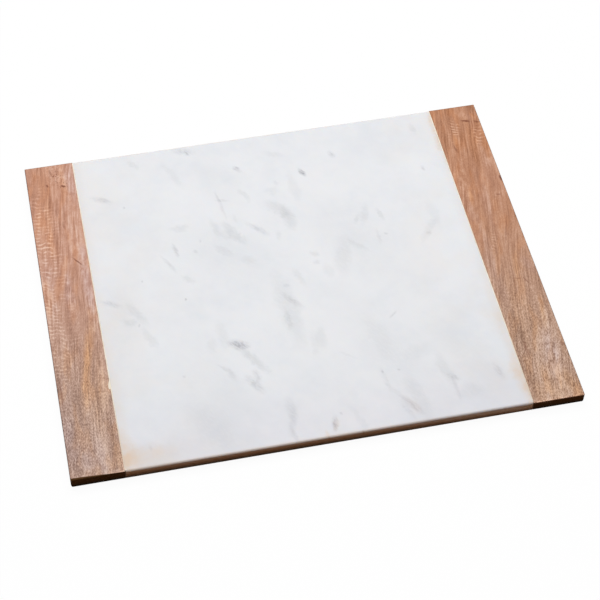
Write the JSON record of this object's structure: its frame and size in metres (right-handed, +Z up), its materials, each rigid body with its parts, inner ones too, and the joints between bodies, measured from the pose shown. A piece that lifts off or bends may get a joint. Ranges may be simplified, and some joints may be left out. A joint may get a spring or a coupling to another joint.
{
  "type": "marble pastry board",
  "caption": "Flat rectangular stone slab for rolling dough, with solid wood ends pinned and bonded flush to its sides, on small rubber feet.",
  "frame": {"origin": "on the worktop, below the middle of the board", "axes": "+X to the right along the long side, +Y to the back along the wood's grain, +Z up"},
  "size_m": [0.508, 0.4064, 0.0157],
  "materials": {
    "marble": "honed white marble with grey flecks",
    "wood": "oiled brown hardwood, grain front to back",
    "resin": "cured cream resin",
    "pin_steel": "plain drawn rod",
    "foot_rubber": "matt dark grey"
  },
  "bodies": {
    "root": {"marble_slab": "marble", "left_wood_end": "wood", "right_wood_end": "wood", "left_bond_line": "resin", "right_bond_line": "resin", "left_front_pin": "pin_steel", "left_middle_pin": "pin_steel", "left_back_pin": "pin_steel", "right_front_pin": "pin_steel", "right_middle_pin": "pin_steel", "right_back_pin": "pin_steel", "front_left_foot": "foot_rubber", "front_right_foot": "foot_rubber", "back_left_foot": "foot_rubber", "back_right_foot": "foot_rubber"}
  },
  "joints": []
}
